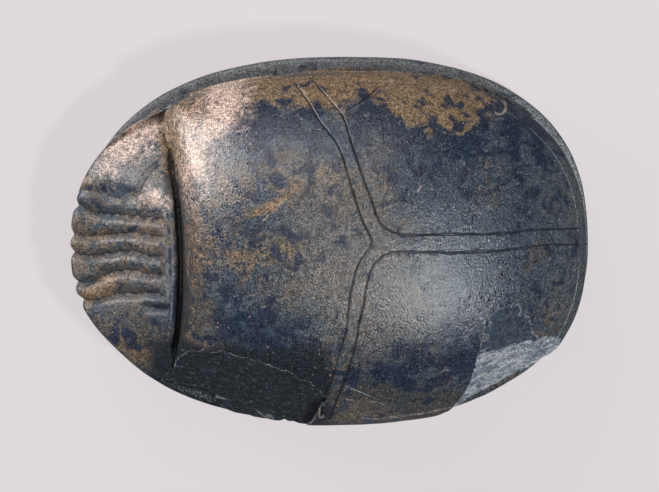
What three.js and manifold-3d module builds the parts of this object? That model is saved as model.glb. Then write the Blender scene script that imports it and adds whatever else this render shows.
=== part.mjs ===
import * as THREE from "three";
import { mergeVertices } from "three/addons/utils/BufferGeometryUtils.js";
import Module from "manifold-3d";

// Scarab amulet carved from one piece of mottled blue-grey stone, lying on its flat base.
// Millimetres, +Z up. The head looks along -X, and the origin is on the underside, below the middle.

const base = {
  length: 45.6,
  width: 32.6,
  thickness: 3.0,
  squareness: 2.37, // exponent of the oval at the head's end: 2 is an ellipse, more is squarer
  tailSquareness: 2.43,
  chamfer: 0.3,
};
const back = {
  height: 19.5, // top of the back above the underside
  edgeLevel: 9.2, // widest line of the back, at the middle of its length
  tailDrop: 1.8, // the widest line is this much lower at the tail
  headDrop: 2.4,
  inset: 0.5, // the widest line runs this far inside the base
  aside: -0.47, // the back sits a little to one side on the base
  astern: 0.2, // and a little nearer the tail
  roundAlong: 2.3, // exponents of the dome's profile
  roundUp: 1.9,
  frontFall: 3.2, // the thorax falls towards the neck by this much
  fallStart: -0.13, // where that fall starts, as a share of half the length
  fallLength: 0.48,
  fallFade: 6, // exponent that takes the fall out again towards the widest line
};
const lip = { height: 1.35, bulge: 0.25, bulgeBelow: 0.55 }; // the rounded edge under the widest line
const wall = { inset: 1.5, lipInset: 1.0 }; // side between base and back, inside the base's oval
const neck = {
  along: -0.614, // place on the back, as a share of half its length
  bow: 1.2, // the groove runs this much nearer the head at the crown's side
  bowAt: 0.67, // and that place, as a share of half the width
  depth: 1.4, // below the head's crown
  from: -0.503, // between these shares of the half width it has its full depth
  to: 0.43,
  fade: 0.1, // and beyond them it rises over this share
  side: 0.3, // to this share of its depth
  mouthHalfWidth: 1.1,
  halfWidth: 0.95,
  floorHalfWidth: 0.35,
};
const head = {
  reach: 1.7, // how far the head looks out past the widest line
  reachAngle: 39, // degrees each side of the middle
  notchFade: 0.55, // the outline's notches fade out up the dome, from the edge to this share of the reach
  crownLevel: 12.4,
  tipLevel: 7.6,
  profile: 1.15, // exponents of the slopes down to the tip and down to the sides
  sideProfile: 1.5,
  fallAcross: 0.22,
  flatHalfWidth: 5.0,
};
// Hollows in the outline of the back: where round the oval in degrees, how deep and how wide.
const notches = [
  { at: 205.5, depth: 0.97, spread: 13.1 },
  { at: 225.5, depth: 1.62, spread: 6.6 },
];
const line = { width: 0.5, floorWidth: 0.15, depth: 0.28 }; // lines engraved on the back
const hollow = { width: 0.85, floorWidth: 0.2, depth: 0.5 }; // hollows between the head's ridges
// Line along the wing cases' edge, inside the widest line, from one degree of the oval to another.
const border = { inset: 0.75, from: 3, to: 83 };
const leg = { width: 2.6, taper: 0.25, relief: 0.95, sink: 0.8, footRise: 1.0 };
const thread = { radius: 1.2, sides: 12 };

const around = 80; // facets round the body
const domeRings = 12;
const headSteps = { across: 14, along: 8 };
const stepAlong = 2.2; // length of a facet along an engraved line

const halfLength = base.length / 2;
const halfWidth = base.width / 2;
const headOverhang = head.reach - back.inset - back.astern;
const middle = headOverhang / 2; // the base's centre, seen from the middle of the whole
const top = 2 * back.height; // above everything

const radians = THREE.MathUtils.degToRad;
const point = (x, y, z) => new THREE.Vector3(x, y, z);
const power = (value, exponent) => Math.pow(Math.max(value, 0), exponent);

// Plan of the base, the widest line and the dome, all seen from the base's centre.

function baseReach(angle) {
  const square = Math.cos(angle) < 0 ? base.squareness : base.tailSquareness;
  const along = power(Math.abs(Math.cos(angle)) / halfLength, square);
  const across = power(Math.abs(Math.sin(angle)) / halfWidth, square);
  return power(along + across, -1 / square);
}

function edgeReach(angle, notched = 1) {
  const turn = (THREE.MathUtils.radToDeg(angle) + 360) % 360;
  const forward = head.reach * Math.max(1 - ((turn - 180) / head.reachAngle) ** 2, 0);
  let reach = baseReach(angle) - back.inset + forward;
  for (const { at, depth, spread } of notches) {
    reach -= notched * depth * Math.exp(-(((turn - at) / spread) ** 2));
  }
  return reach;
}

// A point round the body; the share says how much of the back's shift on the base it takes.
function fromBack(reach, angle, share, level) {
  const x = reach * Math.cos(angle) + back.astern * share;
  const y = reach * Math.sin(angle) + back.aside * share;
  return point(x, y, level);
}

function edgeLevel(angle) {
  const drop = Math.cos(angle) > 0 ? back.tailDrop : back.headDrop;
  return back.edgeLevel - drop * Math.cos(angle) ** 4;
}

// Height of the back, before the head is carved lower.
function domeLevel(x, y) {
  const angle = Math.atan2(y - back.aside, x - back.astern);
  const reach = Math.hypot(x - back.astern, y - back.aside);
  const notched = THREE.MathUtils.smoothstep(reach / edgeReach(angle), head.notchFade, 1);
  const out = Math.min(reach / edgeReach(angle, notched), 1);
  const foot = edgeLevel(angle);
  const dome = foot + (back.height - foot) * power(1 - out ** back.roundAlong, 1 / back.roundUp);
  const forward = Math.max(back.fallStart - x / halfLength, 0) / back.fallLength;
  return dome - back.frontFall * forward ** 2 * (1 - out ** back.fallFade);
}

function neckAt(y) {
  return neck.along * halfLength - neck.bow * ((y - back.aside) / (neck.bowAt * halfWidth)) ** 2;
}

function headLevel(x, y) {
  const headLength = halfLength + headOverhang + neck.along * halfLength;
  const forward = Math.max(neck.along * halfLength - x, 0) / headLength;
  const crown = head.crownLevel - (head.crownLevel - head.tipLevel) * forward ** head.profile;
  const aside = Math.max(Math.abs(y - back.aside) - head.flatHalfWidth, 0);
  return crown - head.fallAcross * aside ** head.sideProfile;
}

function surfaceLevel(x, y) {
  const dome = domeLevel(x, y);
  return x < neckAt(y) ? Math.min(dome, headLevel(x, y)) : dome;
}

function surfaceNormal(x, y) {
  const near = 0.05;
  const riseX = surfaceLevel(x + near, y) - surfaceLevel(x - near, y);
  const riseY = surfaceLevel(x, y + near) - surfaceLevel(x, y - near);
  return point(-riseX, -riseY, 2 * near).normalize();
}

// Solids. Every one is a skin over rings of points, closed by a fan at each end.

const wasm = await Module();
wasm.setup();

function solid(geometry) {
  geometry.deleteAttribute("normal");
  geometry.deleteAttribute("uv");
  const merged = mergeVertices(geometry, 1e-4);
  return new wasm.Manifold(
    new wasm.Mesh({
      numProp: 3,
      vertProperties: new Float32Array(merged.attributes.position.array),
      triVerts: new Uint32Array(merged.index.array),
    }),
  );
}

function skin(rings) {
  const count = rings[0].length;
  const corners = rings.flat();
  const centreOf = (ring) => ring.reduce((sum, each) => sum.add(each), point(0, 0, 0)).divideScalar(count);
  const first = corners.push(centreOf(rings[0])) - 1;
  const last = corners.push(centreOf(rings.at(-1))) - 1;
  const faces = [];
  for (let side = 0; side < count; side++) {
    const next = (side + 1) % count;
    faces.push(first, next, side);
    for (let ring = 0; ring < rings.length - 1; ring++) {
      const low = ring * count;
      const high = low + count;
      faces.push(low + side, low + next, high + next, low + side, high + next, high + side);
    }
    const end = (rings.length - 1) * count;
    faces.push(last, end + side, end + next);
  }
  const geometry = new THREE.BufferGeometry().setFromPoints(corners);
  geometry.setIndex(faces);
  return solid(geometry);
}

// A bar swept along a path; the section is drawn across the path, anticlockwise seen against it.
function sweep(path, normals, sectionAt) {
  const rings = path.map((place, index) => {
    const before = path[Math.max(index - 1, 0)];
    const after = path[Math.min(index + 1, path.length - 1)];
    const travel = after.clone().sub(before).normalize();
    const side = normals[index].clone().cross(travel).normalize();
    const up = travel.clone().cross(side);
    return sectionAt(index / (path.length - 1)).map(([across, out]) =>
      place.clone().addScaledVector(side, across).addScaledVector(up, out),
    );
  });
  return skin(rings);
}

// Points at even steps along a smooth line through marks given as shares of the base's half sizes.
function trace(marks) {
  const curve = new THREE.CatmullRomCurve3(
    marks.map(([along, across]) => point(along * halfLength, across * halfWidth, 0)),
  );
  return curve.getSpacedPoints(Math.max(Math.ceil(curve.getLength() / stepAlong), 2));
}

// An engraved line, cut square to the surface. A free end runs out shallow and narrow over a quarter
// of the line's length.
function engrave(plan, cut, freeStart, freeEnd) {
  const path = plan.map(({ x, y }) => point(x, y, surfaceLevel(x, y)));
  const normals = plan.map(({ x, y }) => surfaceNormal(x, y));
  const flare = 0.3; // the cutter stands this far out of the surface, as wide as its sides lead
  return sweep(path, normals, (share) => {
    const fade = Math.min(freeStart ? 0.25 + 4 * share : 1, freeEnd ? 0.25 + 4 * (1 - share) : 1, 1);
    const floor = cut.floorWidth / 2;
    const mouth = floor + ((cut.width / 2) * (1 + fade) / 2 - floor) * (1 + flare / cut.depth);
    return [[mouth, flare], [-mouth, flare], [-floor, -cut.depth * fade], [floor, -cut.depth * fade]];
  });
}

// The body: base, wall and back as one stack of rings.

function bodyRings() {
  const rings = [];
  const ring = (reachAt, levelAt, share) => {
    rings.push(Array.from({ length: around }, (_, index) => {
      const angle = (index / around) * 2 * Math.PI;
      return fromBack(reachAt(angle), angle, share, levelAt(angle));
    }));
  };
  ring((angle) => baseReach(angle) - base.chamfer, () => 0, 0);
  ring(baseReach, () => base.chamfer, 0);
  ring(baseReach, () => base.thickness - base.chamfer, 0);
  ring((angle) => baseReach(angle) - base.chamfer, () => base.thickness, 0);
  ring((angle) => baseReach(angle) - wall.inset, () => base.thickness, 0);
  ring((angle) => edgeReach(angle) - wall.lipInset, (angle) => edgeLevel(angle) - lip.height, 1);
  ring((angle) => edgeReach(angle) - lip.bulge, (angle) => edgeLevel(angle) - lip.bulgeBelow, 1);
  for (let index = 0; index < domeRings; index++) {
    const turn = (1 - index / domeRings) * Math.PI / 2;
    const share = Math.sin(turn) ** (2 / back.roundAlong);
    const levelAt = (angle) => {
      const { x, y } = fromBack(edgeReach(angle) * share, angle, 1, 0);
      return domeLevel(x, y);
    };
    ring((angle) => edgeReach(angle) * share, levelAt, 1);
  }
  return rings;
}

// What is carved away above the head, in front of the neck.
function headCutter() {
  const rings = [];
  const front = -base.length; // well clear of the head
  for (let step = 0; step <= headSteps.across; step++) {
    const y = base.width * (step / headSteps.across - 0.5) + back.aside;
    const rear = neckAt(y);
    const floor = Array.from({ length: headSteps.along + 1 }, (_, index) => {
      const share = index / headSteps.along;
      const x = share < 1 ? rear - share * (halfLength + headOverhang + rear) * 1.1 : front;
      return point(x, y, headLevel(x, y));
    });
    rings.push([point(rear, y, top), ...floor, point(front, y, top)]);
  }
  return skin(rings);
}

function neckDepth(y) {
  const { smoothstep } = THREE.MathUtils;
  const place = y / halfWidth;
  const risen = smoothstep(place, neck.from - neck.fade, neck.from);
  const fallen = smoothstep(place, neck.to, neck.to + neck.fade);
  return neck.depth * (neck.side + (1 - neck.side) * (risen - fallen));
}

function neckGroove() {
  const path = [];
  const depths = [];
  for (let step = 0; step <= headSteps.across; step++) {
    const y = base.width * (step / headSteps.across - 0.5) + back.aside;
    const x = neckAt(y);
    path.push(point(x, y, Math.min(headLevel(x, y), domeLevel(x, y))));
    depths.push(neckDepth(y));
  }
  return sweep(path, path.map(() => point(0, 0, 1)), (share) => {
    const depth = depths[Math.round(share * headSteps.across)];
    return [
      [neck.mouthHalfWidth, back.frontFall], [-neck.mouthHalfWidth, back.frontFall], [-neck.halfWidth, 0],
      [-neck.floorHalfWidth, -depth], [neck.floorHalfWidth, -depth], [neck.halfWidth, 0],
    ];
  });
}

// Engraved lines, as shares of the base's half length and half width.

const thoraxEdge = [
  [-0.145, 0.93], [-0.136, 0.883], [-0.1, 0.822], [-0.053, 0.712], [0.022, 0.564], [0.066, 0.362],
  [0.088, 0.252], [0.11, 0.153], [0.142, 0.05], [0.118, -0.012], [0.083, -0.086], [0.066, -0.166],
  [0.048, -0.276], [0.035, -0.429], [0.004, -0.571], [-0.026, -0.712], [-0.057, -0.798], [-0.07, -0.93],
];
const wingShoulders = [
  [[-0.082, 0.925], [-0.066, 0.9], [-0.013, 0.816], [0.04, 0.724], [0.07, 0.595], [0.105, 0.436],
    [0.123, 0.356], [0.145, 0.276], [0.162, 0.19], [0.18, 0.135], [0.219, 0.098], [0.26, 0.08]],
  [[-0.04, -0.95], [-0.004, -0.816], [0.026, -0.712], [0.044, -0.638], [0.07, -0.515], [0.083, -0.405],
    [0.105, -0.294], [0.118, -0.184], [0.145, -0.08], [0.171, -0.049], [0.224, -0.012]],
];
const sutureLines = [
  [[0.25, 0.08], [0.482, 0.074], [0.64, 0.067], [0.798, 0.074], [0.9, 0.065], [0.96, 0.06]],
  [[0.22, -0.012], [0.482, -0.025], [0.64, -0.025], [0.798, -0.012], [0.9, -0.02], [0.96, -0.03]],
];
const shoulderMarks = [
  [[0.057, 0.755], [0.123, 0.804], [0.171, 0.853], [0.22, 0.885]],
  [[0.031, -0.742], [0.061, -0.767], [0.118, -0.804], [0.18, -0.853]],
];
const headHollows = [
  [[-1.04, 0.262], [-0.978, 0.209], [-0.93, 0.19], [-0.816, 0.178], [-0.645, 0.158]],
  [[-1.06, 0.086], [-0.982, 0.067], [-0.939, 0.067], [-0.882, 0.08], [-0.794, 0.086], [-0.645, 0.061]],
  [[-1.06, -0.022], [-0.978, -0.043], [-0.899, -0.031], [-0.803, -0.012], [-0.737, -0.037], [-0.645, -0.037]],
  [[-1.05, -0.196], [-0.961, -0.178], [-0.904, -0.141], [-0.816, -0.123], [-0.737, -0.135], [-0.645, -0.135]],
  [[-1.03, -0.292], [-0.943, -0.282], [-0.873, -0.252], [-0.798, -0.252], [-0.741, -0.239], [-0.645, -0.264]],
];
const browMarks = [
  [[-0.745, -0.325], [-0.65, -0.325]], // a short hollow beside the crown
  [[-0.816, 0.27], [-0.825, 0.16], [-0.825, 0.018], [-0.82, -0.117], [-0.816, -0.25]], // crown to shield
];
const cheekLine = [
  [-0.99, 0.32], [-0.939, 0.313], [-0.877, 0.288], [-0.82, 0.268], [-0.765, 0.3], [-0.732, 0.387],
  [-0.706, 0.429], [-0.68, 0.454], [-0.645, 0.491], [-0.63, 0.58],
];

function borderPlan(from, to) {
  const count = 24;
  return Array.from({ length: count + 1 }, (_, index) => {
    const angle = radians(from + (to - from) * (index / count));
    const reach = edgeReach(angle) - border.inset;
    return fromBack(reach, angle, 1, 0);
  });
}

function carving() {
  const cuts = [engrave(trace(thoraxEdge), line, false, false)];
  wingShoulders.forEach((marks) => cuts.push(engrave(trace(marks), line, false, false)));
  sutureLines.forEach((marks) => cuts.push(engrave(trace(marks), line, false, false)));
  shoulderMarks.forEach((marks) => cuts.push(engrave(trace(marks), line, false, true)));
  cuts.push(engrave(borderPlan(border.from, border.to), line, false, false));
  cuts.push(engrave(borderPlan(-border.to, -border.from), line, false, false));
  headHollows.forEach((marks) => cuts.push(engrave(trace(marks), hollow, false, false)));
  browMarks.forEach((marks) => cuts.push(engrave(trace(marks), line, true, true)));
  cuts.push(engrave(trace(cheekLine), hollow, false, false));
  return wasm.Manifold.union(cuts);
}

// Legs in low relief on the wall, the same on both sides: places round the oval and up the wall.
const legPaths = [
  [[112, 0.95], [126, 0.72], [140, 0.35], [152, 0.0]],
  [[104, 1.0], [96, 0.65], [86, 0.25], [77, 0.0]],
  [[88, 0.95], [68, 0.8], [47, 0.42], [31, 0.0]],
];
const legSteps = 8;

function legs() {
  const bars = [];
  for (const side of [1, -1]) {
    for (const marks of legPaths) {
      const curve = new THREE.CatmullRomCurve3(marks.map(([angle, height]) => point(angle, height, 0)));
      const path = [];
      const normals = [];
      for (const spot of curve.getPoints(legSteps)) {
        const angle = side * radians(spot.x);
        const low = baseReach(angle) - wall.inset;
        const high = edgeReach(angle) - wall.lipInset;
        const reach = low + (high - low) * spot.y;
        const floor = base.thickness + leg.footRise;
        const ceiling = edgeLevel(angle) - lip.height;
        path.push(fromBack(reach, angle, spot.y, floor + (ceiling - floor) * spot.y));
        normals.push(point(Math.cos(angle), Math.sin(angle), 0));
      }
      bars.push(sweep(path, normals, (share) => {
        const half = (leg.width / 2) * (1 - leg.taper * share);
        return [
          [half, -leg.sink], [half * 0.9, leg.relief * 0.55], [half * 0.4, leg.relief],
          [-half * 0.4, leg.relief], [-half * 0.9, leg.relief * 0.55], [-half, -leg.sink],
        ];
      }));
    }
  }
  return wasm.Manifold.union(bars);
}

// Chips. Each is a shallow scoop out of the back: its place as shares of the base's half sizes, the
// radii of its hollow round the body and up the body, its depth, and how it leans and turns there.
// A steep side ends it at either end, seen round the body from its place.
const chips = [
  { along: -0.346, across: -0.842, round: 302, up: 63, depth: 2.2, lean: 13, turn: -4, from: -7.4, to: 5.9 },
  { along: 0.546, across: -0.778, round: 130, up: 30, depth: 1.75, lean: 17, turn: -40, from: -0.95, to: 10 },
  { along: 0.663, across: -0.489, round: 16, up: 31, depth: 0.28, lean: 2, turn: 1, from: -3.6, to: 3.6 },
];
const scoopHeight = 6; // half height of the rounded cutter that leaves a chip's hollow

function scoop(chip) {
  const x = chip.along * halfLength;
  const y = chip.across * halfWidth;
  const normal = surfaceNormal(x, y);
  const side = point(0, 0, 1).cross(normal).normalize();
  const outward = normal.clone().applyAxisAngle(side, radians(chip.lean));
  const round = side.clone().applyAxisAngle(outward, radians(chip.turn));
  const frame = new THREE.Matrix4().makeBasis(round, outward.clone().cross(round), outward);
  frame.setPosition(point(x, y, domeLevel(x, y)).addScaledVector(outward, scoopHeight - chip.depth));
  const ball = new THREE.SphereGeometry(1, 40, 28);
  ball.rotateX(Math.PI / 2); // its poles stand out from the body
  ball.scale(Math.sqrt(chip.round * scoopHeight), Math.sqrt(chip.up * scoopHeight), scoopHeight);
  const sided = solid(ball).trimByPlane([1, 0, 0], chip.from).trimByPlane([-1, 0, 0], -chip.to);
  return sided.transform(frame.elements);
}

// The hole for the thread, lengthwise between the base and the back.
function threadHole() {
  const level = (base.thickness + back.edgeLevel - back.headDrop) / 2;
  const ring = (x) => Array.from({ length: thread.sides }, (_, index) => {
    const angle = (index / thread.sides) * 2 * Math.PI;
    return point(x, thread.radius * Math.cos(angle), level + thread.radius * Math.sin(angle));
  });
  return skin([ring(-base.length), ring(base.length)]);
}

function scarabSolid() {
  return skin(bodyRings())
    .add(legs())
    .subtract(headCutter())
    .subtract(neckGroove())
    .subtract(carving())
    .subtract(threadHole())
    .subtract(wasm.Manifold.union(chips.map(scoop)));
}

function meshOf(manifold, name, material) {
  const data = manifold.getMesh();
  const geometry = new THREE.BufferGeometry();
  geometry.setAttribute("position", new THREE.BufferAttribute(data.vertProperties, 3));
  geometry.setIndex(new THREE.BufferAttribute(data.triVerts, 1));
  geometry.computeVertexNormals();
  const mesh = new THREE.Mesh(geometry, material);
  mesh.name = name;
  return mesh;
}

const stone = new THREE.MeshStandardMaterial({ color: 0x6f7488, roughness: 0.42, metalness: 0 });
const scarab = meshOf(scarabSolid(), "scarab", stone);
scarab.position.x = middle;

const amulet = new THREE.Group();
amulet.add(scarab);

export default amulet;
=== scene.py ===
import math
import bpy
import numpy as np
from mathutils import Matrix, Vector, noise


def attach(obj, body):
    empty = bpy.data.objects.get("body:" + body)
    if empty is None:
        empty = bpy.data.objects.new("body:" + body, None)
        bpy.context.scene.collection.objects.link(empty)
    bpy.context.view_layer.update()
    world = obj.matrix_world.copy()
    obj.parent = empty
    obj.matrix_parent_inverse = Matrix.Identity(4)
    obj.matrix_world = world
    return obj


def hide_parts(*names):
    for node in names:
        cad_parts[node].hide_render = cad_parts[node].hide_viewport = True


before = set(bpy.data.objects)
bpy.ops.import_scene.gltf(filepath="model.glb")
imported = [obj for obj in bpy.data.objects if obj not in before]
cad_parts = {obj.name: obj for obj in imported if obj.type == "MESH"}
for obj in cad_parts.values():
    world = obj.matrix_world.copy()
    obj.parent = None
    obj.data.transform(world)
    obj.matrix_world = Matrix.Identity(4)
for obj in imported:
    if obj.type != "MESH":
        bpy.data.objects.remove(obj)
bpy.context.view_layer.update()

print("frame loaded")

# Sizes below are millimetres, seen from the middle of the flat base; metres come in at the end.
millimetre = 0.001

scarabForm = {
    "length": 45.6,
    "width": 32.6,
    "squareness": 2.37,  # at the head's end: 2 is an ellipse, more is squarer
    "tailSquareness": 2.43,
    "thickness": 3.0,  # of the base
    "chamfer": 0.35,
    "height": 19.5,
    "edgeLevel": 9.2,  # widest line of the back
    "tailDrop": 1.8,
    "headDrop": 2.4,
    "inset": 0.5,  # from the base's oval to the widest line
    "aside": -0.47,  # the back sits a little off the base's middle
    "astern": 0.2,
    "roundAlong": 2.3,
    "roundUp": 1.9,
    "frontFall": 3.2,
    "fallStart": -0.13,
    "fallLength": 0.48,
    "fallFade": 6,
    "lipHeight": 1.35,
    "wallInset": 1.5,
    "lipInset": 1.0,
    "waviness": 0.05,  # how far the whole surface is uneven
    "wavinessSize": 5.0,
}
headForm = {
    "reach": 1.7,
    "reachAngle": 39,
    "notchFade": 0.55,
    "notches": [(205.5, 0.97, 13.1), (225.5, 1.62, 6.6)],  # in the outline: degrees, depth, spread
    "crownLevel": 12.4,
    "tipLevel": 7.6,
    "profile": 1.15,
    "sideProfile": 1.5,
    "fallAcross": 0.22,
    "flatHalfWidth": 5.0,
    "blend": 0.6,
    "neck": -13.8,
    "neckBow": 1.2,
    "neckBowAt": 10.9,
    "neckDepth": 1.4,
    "neckFull": (-8.2, 7.0),  # between these it has its full depth
    "neckFade": 1.6,
    "neckSide": 0.3,  # share of the depth that is left beside the crown
    "neckFloor": 0.18,  # half width of its floor
    "neckRear": 2.0,  # how far the thorax rounds over towards the neck
    "neckFront": 0.8,
}
halfLength = scarabForm["length"] / 2
halfWidth = scarabForm["width"] / 2
overhang = headForm["reach"] - scarabForm["inset"] - scarabForm["astern"]


def smooth(low, high, value):
    share = np.clip((value - low) / (high - low), 0, 1)
    return share * share * (3 - 2 * share)


def grain(points, size, octaves=2, seed=0.0):
    # soft noise about -1 to 1, one value a point
    shift = Vector((seed, seed * 0.7, -seed))
    return np.array([noise.fractal(Vector(p) / size + shift, 1.0, 2.0, octaves) for p in points])


def ovalReach(angle):
    square = np.where(np.cos(angle) < 0, scarabForm["squareness"], scarabForm["tailSquareness"])
    along, across = np.abs(np.cos(angle) / halfLength), np.abs(np.sin(angle) / halfWidth)
    return (along ** square + across ** square) ** (-1 / square)


def edgeReach(angle, notched=1.0):
    turn = np.degrees(np.mod(angle, 2 * math.pi))
    forward = headForm["reach"] * np.maximum(1 - ((turn - 180) / headForm["reachAngle"]) ** 2, 0)
    notches = sum(depth * np.exp(-((turn - at) / spread) ** 2) for at, depth, spread in headForm["notches"])
    return ovalReach(angle) - scarabForm["inset"] + forward - notches * notched


def aroundBack(x, y):
    # the angle round the back's own middle, and how far out towards the widest line: the notches
    # of the outline fade out up the dome
    angle = np.arctan2(y - scarabForm["aside"], x - scarabForm["astern"])
    reach = np.hypot(x - scarabForm["astern"], y - scarabForm["aside"])
    notched = smooth(headForm["notchFade"], 1, reach / edgeReach(angle))
    return angle, reach / edgeReach(angle, notched)


def fromBack(reach, angle, share=1.0):
    x = reach * np.cos(angle) + scarabForm["astern"] * share
    return x, reach * np.sin(angle) + scarabForm["aside"] * share


def edgeLevel(angle):
    drop = np.where(np.cos(angle) > 0, scarabForm["tailDrop"], scarabForm["headDrop"])
    return scarabForm["edgeLevel"] - drop * np.cos(angle) ** 4


def domeLevel(x, y):
    angle, out = aroundBack(x, y)
    out = np.minimum(out, 1)
    foot = edgeLevel(angle)
    rise = (1 - out ** scarabForm["roundAlong"]) ** (1 / scarabForm["roundUp"])
    forward = np.maximum(scarabForm["fallStart"] - x / halfLength, 0) / scarabForm["fallLength"]
    fall = scarabForm["frontFall"] * forward ** 2 * (1 - out ** scarabForm["fallFade"])
    return foot + (scarabForm["height"] - foot) * rise - fall


def neckAt(y):
    return headForm["neck"] - headForm["neckBow"] * ((y - scarabForm["aside"]) / headForm["neckBowAt"]) ** 2


def headLevel(x, y):
    forward = np.maximum(headForm["neck"] - x, 0) / (halfLength + overhang + headForm["neck"])
    fall = headForm["crownLevel"] - headForm["tipLevel"]
    crown = headForm["crownLevel"] - fall * forward ** headForm["profile"]
    beside = np.maximum(np.abs(y - scarabForm["aside"]) - headForm["flatHalfWidth"], 0)
    return crown - headForm["fallAcross"] * beside ** headForm["sideProfile"]


def neckDepthAt(y):
    low, high = headForm["neckFull"]
    full = smooth(low - headForm["neckFade"], low, y) * (1 - smooth(high, high + headForm["neckFade"], y))
    return headForm["neckDepth"] * (headForm["neckSide"] + (1 - headForm["neckSide"]) * full)


def softLower(first, second, blend):
    share = np.clip(0.5 + 0.5 * (second - first) / blend, 0, 1)
    return second * (1 - share) + first * share - blend * share * (1 - share)


def quarterRound(share):
    return np.sqrt(1 - (1 - np.clip(share, 0, 1)) ** 2)


def backLevel(x, y):
    dome = domeLevel(x, y)
    crown = headLevel(x, y)
    head = softLower(dome, crown, headForm["blend"])
    floor = np.minimum(crown, dome) - neckDepthAt(y)
    past = x - neckAt(y)
    clear = np.maximum(np.abs(past) - headForm["neckFloor"], 0)
    onHead = head - np.maximum(head - floor, 0) * (1 - quarterRound(clear / headForm["neckFront"]))
    onThorax = dome - np.maximum(dome - floor, 0) * (1 - quarterRound(clear / headForm["neckRear"]))
    return np.where(past < 0, onHead, onThorax)


# The mesh is drawn flat: a grid for the back, and under its border one row after another.
# z of the flat drawing counts the rows: 0 is the back, -1 the first row below the widest line, and
# where the mesh is made finer there are parts of a row between them.
meshPlan = {
    "quadsAlong": 100,
    "quadsAcross": 80,
    "lipRows": 5,
    "wallRows": 10,
    "ledgeRows": 3,
    "topRoundRows": 2,
    "rimRows": 3,
    "bottomRoundRows": 2,
    "underRows": 2,
    "underStep": 0.7,
    "rowParts": 8,
    "neckMargin": 1.7,  # how far past the neck the head's finer mesh goes on
    "nearLine": (0.45, 0.19),  # how near a line the mesh is made finer, and finer again
}


def sideRow(row, angle):
    edge, foot, level = edgeReach(angle), ovalReach(angle), edgeLevel(angle)
    form, step = scarabForm, row
    wallTop = edge - form["lipInset"]
    wallFoot = foot - form["wallInset"]
    lipFoot = level - form["lipHeight"]
    chamfer = form["chamfer"]
    if step <= meshPlan["lipRows"]:
        turn = math.pi / 2 * step / meshPlan["lipRows"]
        reach = edge - form["lipInset"] * (1 - math.cos(turn))
        return reach, level - form["lipHeight"] * math.sin(turn), 1.0
    step -= meshPlan["lipRows"]
    if step <= meshPlan["wallRows"]:
        share = step / meshPlan["wallRows"]
        reach = wallTop + (wallFoot - wallTop) * share
        return reach, lipFoot + (form["thickness"] - lipFoot) * share, 1 - share
    step -= meshPlan["wallRows"]
    if step <= meshPlan["ledgeRows"]:
        share = step / meshPlan["ledgeRows"]
        return wallFoot + (foot - chamfer - wallFoot) * share, form["thickness"] + 0 * angle, 0.0
    step -= meshPlan["ledgeRows"]
    if step <= meshPlan["topRoundRows"]:
        turn = math.pi / 2 * step / meshPlan["topRoundRows"]
        fall = chamfer * (1 - math.cos(turn))
        return foot - chamfer * (1 - math.sin(turn)), form["thickness"] - fall + 0 * angle, 0.0
    step -= meshPlan["topRoundRows"]
    if step <= meshPlan["rimRows"]:
        share = step / meshPlan["rimRows"]
        drop = (form["thickness"] - 2 * chamfer) * share
        return foot, form["thickness"] - chamfer - drop + 0 * angle, 0.0
    step -= meshPlan["rimRows"]
    if step <= meshPlan["bottomRoundRows"]:
        turn = math.pi / 2 * step / meshPlan["bottomRoundRows"]
        return foot - chamfer * (1 - math.cos(turn)), chamfer * (1 - math.sin(turn)) + 0 * angle, 0.0
    step -= meshPlan["bottomRoundRows"]
    return foot - chamfer - meshPlan["underStep"] * step, 0 * angle, 0.0


def layOver(flat):
    # the square grid goes over the oval without a pole, and its border runs along the widest line
    u, v = flat[:, 0], flat[:, 1]
    discX, discY = u * np.sqrt(1 - v ** 2 / 2), v * np.sqrt(1 - u ** 2 / 2)
    angle = np.arctan2(discY, discX)
    out = np.sin(np.minimum(np.hypot(discX, discY), 1) * math.pi / 2)
    x, y = fromBack(out * edgeReach(angle), angle)
    z = np.where(out > 0.9999, edgeLevel(angle), backLevel(x, y))
    rows = np.rint(-flat[:, 2] * meshPlan["rowParts"]) / meshPlan["rowParts"]
    for row in np.unique(rows[rows > 0]):
        here = rows == row
        reach, level, share = sideRow(row, angle[here])
        x[here], y[here] = fromBack(reach, angle[here], share)
        z[here] = level
    return np.stack([x, y, z], 1), angle, rows


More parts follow.
